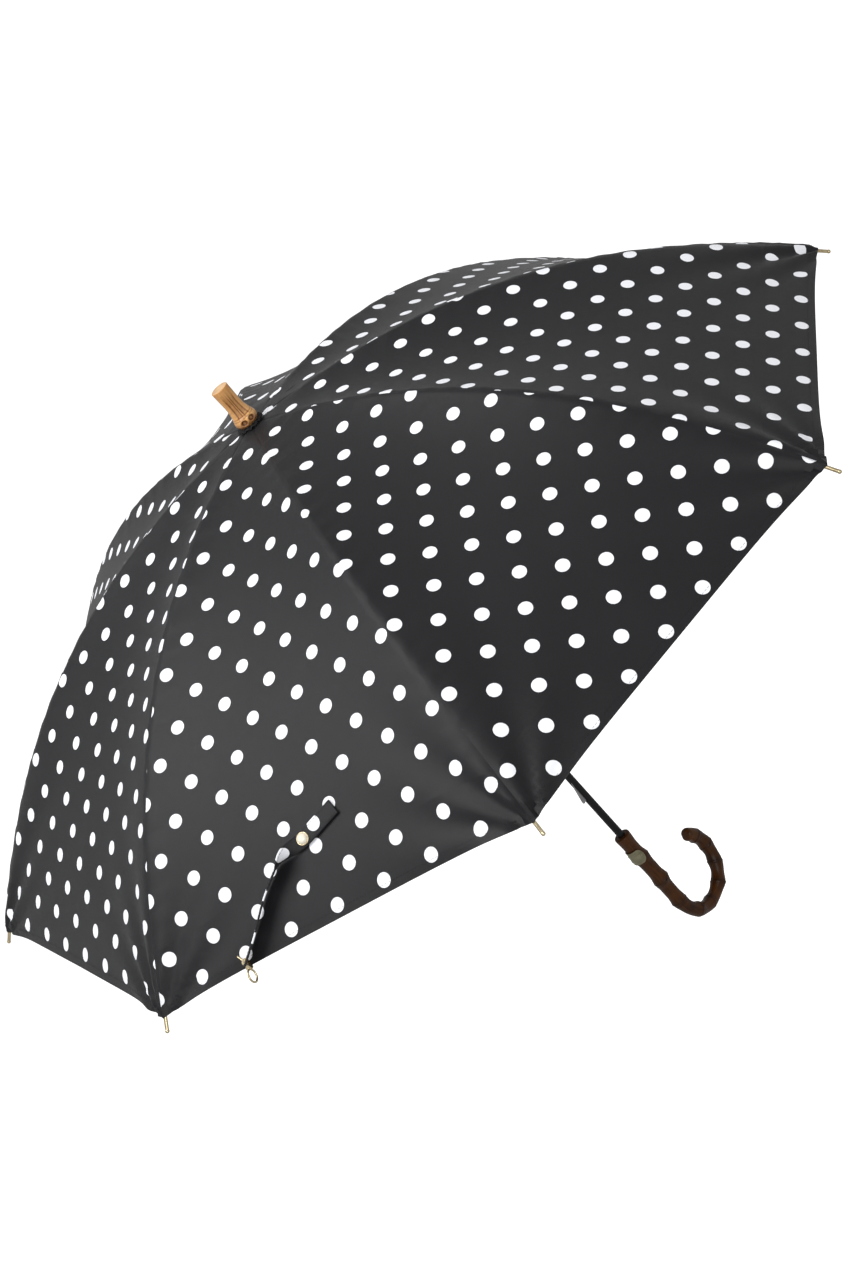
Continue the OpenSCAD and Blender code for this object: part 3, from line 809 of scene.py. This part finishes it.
def make_ferrule():
    columns = 128
    tall = (FERRULE_TOP - FERRULE_FOOT) / MM
    bend = np.linspace(0, math.pi / 2, 6)[1:]
    heights = np.concatenate([[0, 0], np.linspace(0, tall - 0.7, 100)[1:], tall - 0.7 * (1 - np.sin(bend)),
                              [tall] * 4])
    shrink = np.concatenate([[0.5, 1], np.ones(99), 1 - 0.09 * (1 - np.cos(bend)),
                             [0.75, 0.5, 0.25, 0.08]])[:, None]
    turns = np.linspace(0, 2 * math.pi, columns, endpoint=False)[None, :]
    knots, sizes = zip(*FERRULE_PROFILE)
    high = heights[:, None] + 0 * turns
    radius = np.interp(high, knots, sizes)
    scar = 0 * high
    groove_shade = 0 * high
    for centre, bud in BUDS:
        side = around(turns, centre, 8.5)
        away = np.hypot(side, high - bud)
        radius = radius + 1.0 * bell(away - 2.7, 0.9) - 1.9 * bell(away, 1.8)
        scar = np.maximum(scar, np.clip(bell(away - 1.7, 0.75) + 0.6 * bell(away, 0.8), 0, 1))
        run = np.clip((high - bud - 2.4) / 4, 0, 1) * np.clip((tall * 0.9 - high) / 10, 0, 1)
        radius = radius + run * (0.75 * bell(side, 1.1) - 2.1 * bell(side, 2.6))
        # painted shade: the cane is darkened along both edges of each groove and down its channel
        groove_shade = np.maximum(groove_shade, run * (bell(np.abs(side) - 2.1, 0.6) + 0.5 * bell(side, 2.6)))
    lines = sum(bell(high - z, 0.4) * level for z, level in ((0.9, 0.9), (7.6, 0.6), (9.3, 0.7)))
    # painted shadow: a dark band round the foot of the ferrule, next to the rosette
    band = 0.75 * bell(high - 2.2, 3.2) * (0.75 + 0.25 * np.sin(3 * turns))
    radius = radius - 0.2 * lines
    # one darkening attribute carries the knot rings, the painted groove shade and the painted foot shadow
    knot_and_shade = np.clip(lines + band + 0.95 * groove_shade, 0, 1)
    flat_top = high > tall - 0.01
    radius = np.where(flat_top, sizes[-1], radius) * shrink
    points = np.stack([radius * np.cos(turns), radius * np.sin(turns), high], axis=-1) * MM
    points[..., 2] += FERRULE_FOOT
    piece = make_tube("ferrule_cane", points, honey_cane)
    piece.data.materials.append(sawn_cane)
    set_uv(piece, np.stack([(turns + 0 * high) * 8 * MM, high * MM], axis=-1))
    set_attribute(piece, "knot_and_shade", knot_and_shade)
    set_attribute(piece, "scar", scar)
    for polygon in piece.data.polygons:
        if polygon.center[2] > FERRULE_TOP - 0.05 * MM:
            polygon.material_index = 1
    recalculate_normals(piece)
    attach(piece, "shaft")
    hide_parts("ferrule")
    return piece


ferrule = make_ferrule()
print("ferrule:", round((FERRULE_TOP - FERRULE_FOOT) / MM, 1), "mm,", len(ferrule.data.polygons), "faces")

# %% [markdown]
# ## The cane handle
# The handle is one length of root cane, steamed and bent into a crook. Cane swells at each knot, with
# a raised ring and a small bud, and the buds take turns from side to side, so the cane zigzags a
# little between them. The surface is swept along the crook, and the knots push it in and out.

# %% The crook's centre line
HANDLE_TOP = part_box("handle")[1][2]
HOOK_R = 34 * MM
HOOK_Z = 40.4 * MM
HOOK_TURN = math.radians(230)
STRAIGHT = HANDLE_TOP - HOOK_Z
CANE_LENGTH = STRAIGHT + HOOK_R * HOOK_TURN
# Knots: how far down the cane, and how much it swells there, both in mm
KNOTS = [(29, 1.35), (60, 1.2), (90, 0.95), (115, 0.8), (136, 0.65), (158, 0.95), (178, 0.9),
         (197, 0.85), (213, 0.8)]
THIN = [(0, 7.7), (4, 7.6), (12, 7.0), (45, 6.8), (75, 6.6), (105, 6.3), (140, 6.0), (234, 6.15)]


def cane_line(s):
    """Centre of the cane at s metres from the top, its way on, and the direction into the crook."""
    turn = np.clip((s - STRAIGHT) / HOOK_R, 0, None)
    inward = np.stack([np.cos(turn), 0 * turn, np.sin(turn)], axis=-1)
    centre = np.array([HOOK_R, 0, HOOK_Z]) - HOOK_R * inward
    centre[..., 2] += np.clip(STRAIGHT - s, 0, None)
    return centre, np.stack([np.sin(turn), 0 * turn, -np.cos(turn)], axis=-1), inward


def cane_radius(down, turns):
    """Radius, knot colour and bud colour at a depth in mm and a direction round the cane."""
    places, sizes = zip(*THIN)
    radius = np.interp(down, places, sizes) + 0 * turns
    knot_and_shade = 0 * radius
    scar = 0 * radius
    for k, (place, swell) in enumerate(KNOTS):
        centre = math.radians((75, 255, 110, 290)[k % 4])
        off = down - place + 0.9 * np.sin(turns - centre)
        lean = 1 + 0.35 * np.cos(turns - centre)
        radius = radius + 1.15 * swell * lean * bell(off, 5.2) + 0.2 * bell(off, 1.1)
        radius = radius - 0.25 * bell(off - 1.7, 0.7) - 0.12 * bell(off + 1.8, 0.8)
        knot_and_shade = np.maximum(knot_and_shade, np.maximum(0.75 * bell(off - 1.7, 0.6), 0.45 * bell(off, 3.0)))
        side = around(turns, centre, 7.0)
        away = np.hypot(side, off - 0.2)
        radius = radius + 0.75 * bell(away, 1.7) - 0.45 * bell(away, 0.7)
        scar = np.maximum(scar, bell(away, 1.2))
        run = np.clip((off - 2.5) / 4, 0, 1) * np.clip((22 - off) / 8, 0, 1)
        radius = radius - 0.5 * run * bell(side, 2.3)
    return radius, np.clip(knot_and_shade, 0, 1), np.clip(scar, 0, 1)


print("cane length:", round(CANE_LENGTH, 3), "m, knots:", len(KNOTS))

# %% Sweep the handle


def make_handle():
    columns = 72
    long = CANE_LENGTH / MM
    edge, end = 1.4, 3.0
    bend = np.linspace(0, math.pi / 2, 7)
    run = np.arange(edge + 0.7, long - end - 0.4, 0.75)
    down = np.concatenate([[0, 0], edge * (1 - np.cos(bend[1:])), run, long - end * (1 - np.sin(bend)),
                           [long + 0.1, long + 0.1]])
    inset = np.concatenate([[4.5, 2.6], edge * (1 - np.sin(bend[1:])), 0 * run, end * (1 - np.cos(bend)),
                            [3.8, 5.0]])
    turns = np.linspace(0, 2 * math.pi, columns, endpoint=False)[None, :]
    radius, knot_and_shade, scar = cane_radius(down[:, None], turns)
    radius = (radius - inset[:, None]) * MM
    centre, _, inward = cane_line(down * MM)
    sway = 0.55 * MM * np.sin(down * 2 * math.pi / 61) * np.clip(down / 20, 0, 1)
    centre = centre + np.stack([0 * sway, sway, 0 * sway], axis=-1)
    square = np.array([0.0, 1.0, 0.0])
    points = centre[:, None] + radius[..., None] * (np.cos(turns)[..., None] * inward[:, None]
                                                    + np.sin(turns)[..., None] * square)
    piece = make_tube("handle_cane", points, dark_cane)
    set_uv(piece, np.stack([turns * 6.8 * MM + 0 * radius, down[:, None] * MM + 0 * radius], axis=-1))
    set_attribute(piece, "knot_and_shade", knot_and_shade)
    set_attribute(piece, "scar", scar)
    recalculate_normals(piece)
    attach(piece, "shaft")
    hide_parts("handle")
    return piece


handle = make_handle()
print("handle faces:", len(handle.data.polygons))

# %% [markdown]
# ## The name plate
# A thin metal plate with round ends wraps the back of the cane, held by two small domed pins. It
# follows the cane's own swelling, so it uses the same radius function. It is left blank.

# %% Bend the plate round the cane
PLATE_Z = (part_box("name_plate")[0][2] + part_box("name_plate")[1][2]) / 2
PLATE_HALF = (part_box("name_plate")[1][2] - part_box("name_plate")[0][2]) / 2
PLATE_REACH = math.radians(80)
PIN_AT = math.radians(60)


def on_cane(turns, high, lift):
    """Points at a lift over the cane's skin, on its straight upper part."""
    down = (HANDLE_TOP - high) / MM
    radius = 0.5 * (cane_radius(down, turns)[0] + 8.0) * MM + lift
    return np.stack([radius * np.cos(turns), radius * np.sin(turns), high + 0 * turns], axis=-1)


def make_plate():
    columns, rows = 81, 25
    reach = np.sin(np.linspace(-1, 1, columns) * math.pi / 2)[None, :] * PLATE_REACH
    past = np.clip((np.abs(reach) - math.radians(45)) / (PLATE_REACH - math.radians(45)), 0, 0.996)
    half = PLATE_HALF * np.sqrt(1 - past**2)
    high = PLATE_Z + half * np.linspace(-1, 1, rows)[:, None]
    points = on_cane(math.pi + reach + 0 * high, high, 0.42 * MM)
    piece = make_piece("name_plate_metal", points, grid_faces(rows, columns), plate_metal)
    shell = piece.modifiers.new("thickness", "SOLIDIFY")
    shell.thickness = 0.6 * MM
    shell.offset = 0
    edge = piece.modifiers.new("edge", "BEVEL")
    edge.width = 0.12 * MM
    edge.segments = 2
    edge.angle_limit = math.radians(50)
    apply_modifiers(piece)
    recalculate_normals(piece)
    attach(piece, "shaft")
    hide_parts("name_plate")
    return piece


def turned(name, profile, place, normal, material, columns=48):
    """A round piece from a profile of (radius, height) pairs, set on a place and turned to a normal."""
    turns = np.linspace(0, 2 * math.pi, columns, endpoint=False)[None, :]
    radius, high = [np.array(values)[:, None] for values in zip(*profile)]
    points = np.stack([radius * np.cos(turns), radius * np.sin(turns), high + 0 * turns], axis=-1)
    piece = make_tube(name, points, material)
    turn = Vector(normal).to_track_quat("Z", "Y").to_matrix().to_4x4()
    piece.data.transform(Matrix.Translation(Vector(place)) @ turn)
    recalculate_normals(piece)
    return piece


def dome(radius, high, rim):
    """Profile of a low dome with a rim below it."""
    arc = [(radius * math.cos(a), rim + high * math.sin(a)) for a in np.linspace(0, 1.45, 9)]
    return [(radius * 0.6, -rim), (radius, -rim), *arc]


make_plate()
for label, angle in (("low", -PIN_AT), ("high", PIN_AT)):
    turn = math.pi + angle
    skin = on_cane(np.array([turn]), np.array([PLATE_Z]), 0.5 * MM)[0]
    pin = turned(f"plate_pin_{label}", dome(1.15 * MM, 0.6 * MM, 0.3 * MM), skin,
                 (math.cos(turn), math.sin(turn), 0), plate_metal, columns=24)
    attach(pin, "shaft")
    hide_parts("plate_pins")
print("plate:", round(2 * PLATE_HALF / MM, 1), "mm high")

# %% [markdown]
# ## The closure strap
# A narrow strap of the same dotted cloth hangs from the hem near rib 5. It lies slantwise up the
# gore: it stands on its edge where it leaves its clip, then twists and lies flat at its free end,
# where the pearl button sits. It is laid as a band along a smooth line, turned as it goes.

# %% The strap's line on its gore
STRAP_GORE = 4.5 * PITCH
STRAP_W = 12.5 * MM
STRAP_T = 1.3 * MM
PRINT_AT = (2.4 * MM, 117 * MM)     # one printed dot, across the strap and along it
STAND = math.radians(122)           # how far it has turned on its edge at the hem
FLAT_FROM = 0.76                    # it lies flat from this share of its length
TWIST_OVER = 0.24                   # and twists over this share before that
# Points across the gore and along it from the crown, in mm
STRAP_ROUTE = [(-82.8, 462.0), (-65.5, 445.4), (-48.0, 424.6), (-30.4, 409.3), (-15.5, 402.1),
               (0.9, 397.2), (15.4, 392.2), (28.4, 387.7)]


def gore_place(across, arc, lift):
    """A point over the strap's gore, with the directions out of the cloth and down it."""
    u = np.interp(arc, arc_len, arc_u)
    steep = gore_fall(u)[..., None]
    out, square = spoke(STRAP_GORE)
    normal = np.sin(steep) * out + np.cos(steep) * UP
    lift = lift - sag(u, 1 - np.abs(across) / (profile_r(u) * math.sin(HALF)))
    spot = (profile_r(u) * math.cos(HALF))[..., None] * out + across[..., None] * square
    return spot + profile_z(u)[..., None] * UP + lift[..., None] * normal, normal


def strap_line(count):
    route = np.array(STRAP_ROUTE) * MM
    far = np.concatenate([[0], np.cumsum(np.hypot(*np.diff(route, axis=0).T))])
    t = np.linspace(0, far[-1], count)
    across, arc = [np.interp(t, far, route[:, k]) for k in (0, 1)]
    kernel = np.hanning(15)
    kernel /= kernel.sum()
    smooth = [np.convolve(np.pad(line, 7, mode="reflect", reflect_type="odd"), kernel, mode="valid")
              for line in (across, arc)]
    share = t / far[-1]
    stand = np.clip((FLAT_FROM - share) / TWIST_OVER, 0, 1)
    stand = STAND * stand * stand * (3 - 2 * stand)
    lift = 1.9 * MM + 0.5 * STRAP_W * np.sin(stand)
    spots, normals = gore_place(smooth[0], smooth[1], lift)
    ahead = np.gradient(spots, axis=0)
    ahead /= np.linalg.norm(ahead, axis=1)[:, None]
    wide = np.cross(normals, ahead)
    wide = wide * np.cos(stand)[:, None] + normals * np.sin(stand)[:, None]
    return spots, wide, np.cross(ahead, wide), t


def band_section(spots, wide, thick, half_w, half_t):
    """A flat band with rounded edges, swept along its line."""
    outline = [(-1, -0.4), (-0.96, -0.9), (-0.85, -1), (0.85, -1), (0.96, -0.9), (1, -0.4), (1, 0.4),
               (0.96, 0.9), (0.85, 1), (-0.85, 1), (-0.96, 0.9), (-1, 0.4)]
    ring_points = [spots + a * half_w * wide + b * half_t * thick for a, b in outline]
    return np.stack(ring_points, axis=1), [a * half_w for a, _ in outline]


def make_strap():
    rows = 90
    spots, wide, thick, far = strap_line(rows)
    points, across = band_section(spots, wide, thick, STRAP_W / 2, STRAP_T / 2)
    piece = make_tube("strap_cloth", points, outer_cloth)
    down = np.array([DOT_ACROSS, DOT_ALONG]) / math.hypot(DOT_ACROSS, DOT_ALONG)
    side = np.array([down[1], -down[0]])
    flat = (far[:, None, None] - PRINT_AT[1]) * down + (np.array(across)[:, None] - PRINT_AT[0]) * side
    set_uv(piece, flat)
    recalculate_normals(piece)
    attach(piece, "strap")
    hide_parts("strap")
    edges_sewn = [spots + side * (STRAP_W / 2 - 1.6 * MM) * wide + face * (STRAP_T / 2 + 0.03 * MM) * thick
                  for side in (-1, 1) for face in (-1, 1)]
    sewn = along("strap_stitch", stitch_tree, edges_sewn, 3.0 * MM, 2.1 * MM, 0.13 * MM)
    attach(sewn, "strap")
    return spots, thick, far


strap_spots, strap_faces, strap_far = make_strap()
print("strap length:", round(float(strap_far[-1]) / MM, 1), "mm")

# %% The button and the press stud
BUTTON_AT = 0.755
STUD_AT = 0.945


def strap_place(share, lift):
    k = int(round(share * (len(strap_spots) - 1)))
    face = strap_faces[k] * (1 if strap_faces[k][2] > 0 else -1)
    return strap_spots[k] + lift * face, face


spot, face = strap_place(BUTTON_AT, STRAP_T / 2)
button = turned("strap_button_pearl", dome(4.25 * MM, 3.8 * MM, 0.7 * MM), spot, face, cream_pearl)
bezel = turned("strap_button_bezel", [(a * MM, b * MM) for a, b in (
    (4.3, 0.05), (4.9, 0.05), (5.15, 0.4), (5.1, 0.9), (4.8, 1.25), (4.45, 1.3), (4.3, 1.0))],
    spot, face, champagne)
spot, face = strap_place(STUD_AT, -STRAP_T / 2)
stud = turned("strap_stud", [(a * MM, b * MM) for a, b in (
    (2.0, -1.1), (2.4, -1.1), (2.6, -0.8), (2.5, -0.5), (3.6, -0.35), (3.8, -0.15), (3.7, 0.0),
    (2.0, 0.05))],
    spot, face, bright_wire)
for piece, node, finish in ((button, "strap_button", "pearl"), (bezel, "strap_button", "gold_metal"),
                            (stud, "strap_snap", "steel")):
    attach(piece, "strap")
    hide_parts(node)
print("button and stud are on the strap")

# %% [markdown]
# ## Camera, floor and light
# The camera stands on the side of the handle, above the dome and tilted, so that the shaft runs down
# to the right. A wide pale floor lies far below, and big soft lights from above leave the lower gores
# darker than the upper ones.

# %% Set the camera


def set_camera():
    eye = Vector((-1.2692, -1.5082, 1.2732))
    right = Vector((0.39570, -0.68354, -0.61334)).normalized()
    back = Vector((-0.58418, -0.70266, 0.40620)).normalized()
    above = back.cross(right).normalized()
    right = above.cross(back)
    data = bpy.data.cameras.new("camera")
    data.lens = 72.19
    data.sensor_width = 36
    camera = bpy.data.objects.new("camera", data)
    matrix = Matrix((right, above, back)).transposed().to_4x4()
    camera.matrix_world = Matrix.Translation(eye) @ matrix
    bpy.context.scene.collection.objects.link(camera)
    bpy.context.scene.camera = camera
    return camera


camera = set_camera()
print("camera at", [round(v, 2) for v in camera.matrix_world.translation])

# %% Lay the floor and hang the lights
FLOOR_Z = -0.9
FLOOR_SIZE = 60.0


def lay_floor():
    finish = Finish("pale floor", Specular_IOR_Level=0.1)
    tone = finish.noise(0.4, 1.0)
    finish.colour(finish.ramp(tone, [(0.3, (0.96, 0.96, 0.96)), (0.7, (0.97, 0.97, 0.97))]))
    finish.roughness(finish.range(tone, 0.85, 0.95))
    corners = [(x * FLOOR_SIZE, y * FLOOR_SIZE, FLOOR_Z) for x, y in ((-1, -1), (1, -1), (1, 1), (-1, 1))]
    floor = make_piece("floor", corners, [(0, 1, 2, 3)], finish.material, smooth=False)
    finish.shader.inputs["Emission Color"].default_value = (1.0, 1.0, 1.0, 1.0)
    finish.shader.inputs["Emission Strength"].default_value = 0.6
    floor.visible_diffuse = False
    floor.visible_glossy = False


def hang_light(name, place, aim, size, watts):
    data = bpy.data.lights.new(name, "AREA")
    data.shape = "DISK"
    data.size = size
    data.energy = watts
    light = bpy.data.objects.new(name, data)
    light.location = place
    light.rotation_euler = (Vector(place) - Vector(aim)).to_track_quat("Z", "Y").to_euler()
    bpy.context.scene.collection.objects.link(light)


def set_world(strength):
    world = bpy.data.worlds.new("soft white")
    world.use_nodes = True
    sky = world.node_tree.nodes["Background"]
    sky.inputs["Color"].default_value = (1.0, 1.0, 1.0, 1.0)
    sky.inputs["Strength"].default_value = strength
    bpy.context.scene.world = world


lay_floor()
set_world(0.52)
hang_light("key", (-0.9, 0.4, 2.9), (0, 0, 0.5), 2.0, 62)
hang_light("front", (-1.9, -2.4, 1.6), (0, 0, 0.45), 2.2, 40)
bpy.context.scene.view_settings.view_transform = "Standard"
